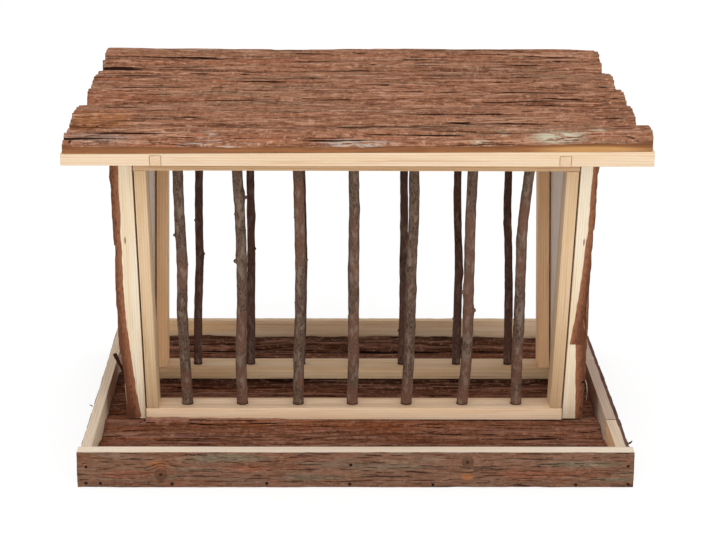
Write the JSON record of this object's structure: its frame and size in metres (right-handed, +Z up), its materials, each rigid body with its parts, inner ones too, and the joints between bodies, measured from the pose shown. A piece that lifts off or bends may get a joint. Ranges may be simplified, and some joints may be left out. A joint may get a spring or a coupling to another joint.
{
  "type": "bird table",
  "caption": "Low bark-edged feeding tray with a V-shaped rack of upright sticks between bark side panels, under a flat bark roof that lifts off.",
  "frame": {"origin": "middle of the tray's underside, below the middle of the roof", "axes": "+X to the right along the front, +Y from the front to the back, +Z up"},
  "size_m": [0.467, 0.373, 0.3031],
  "materials": {
    "pine": "raw planed softwood",
    "bark_board": "raw board with bark left on one face",
    "bark_slab": "rough fibrous bark on a sawn slab",
    "stick": "thin dull rind"
  },
  "bodies": {
    "stand": {"tray_front_board": "bark_board", "tray_back_board": "bark_board", "tray_left_board": "bark_board", "tray_right_board_front": "bark_board", "tray_right_board_rear": "bark_board", "floor_slat_1": "bark_slab", "floor_slat_2": "bark_slab", "floor_slat_3": "bark_slab", "floor_slat_4": "bark_slab", "floor_slat_5": "bark_slab", "floor_slat_6": "bark_slab", "front_bottom_rail": "pine", "front_top_rail": "pine", "front_left_stile": "pine", "front_right_stile": "pine", "front_stick_1": "stick", "front_stick_2": "stick", "front_stick_3": "stick", "front_stick_4": "stick", "front_stick_5": "stick", "front_stick_6": "stick", "front_stick_7": "stick", "back_bottom_rail": "pine", "back_top_rail": "pine", "back_left_stile": "pine", "back_right_stile": "pine", "back_stick_1": "stick", "back_stick_2": "stick", "back_stick_3": "stick", "back_stick_4": "stick", "back_stick_5": "stick", "back_stick_6": "stick", "back_stick_7": "stick", "side_slab_left_1": "bark_slab", "side_slab_left_2": "bark_slab", "side_slab_left_3": "bark_slab", "side_slab_left_4": "bark_slab", "side_slab_right_1": "bark_slab", "side_slab_right_2": "bark_slab", "side_slab_right_3": "bark_slab", "side_slab_right_4": "bark_slab", "cleat_left_top": "pine", "cleat_right_top": "pine"},
    "roof": {"roof_plank_1": "bark_slab", "roof_plank_2": "bark_slab", "roof_plank_3": "bark_slab", "roof_plank_4": "bark_slab", "roof_plank_5": "bark_slab", "roof_plank_6": "bark_slab", "roof_batten_front": "pine", "roof_batten_back": "pine", "roof_cross_strip_left": "pine", "roof_cross_strip_right": "pine"}
  },
  "joints": [
    {"name": "roof_lift", "type": "slide", "parent": "stand", "child": "roof", "axis": [0, 0, 1], "range_m": [0, 0.16]}
  ]
}
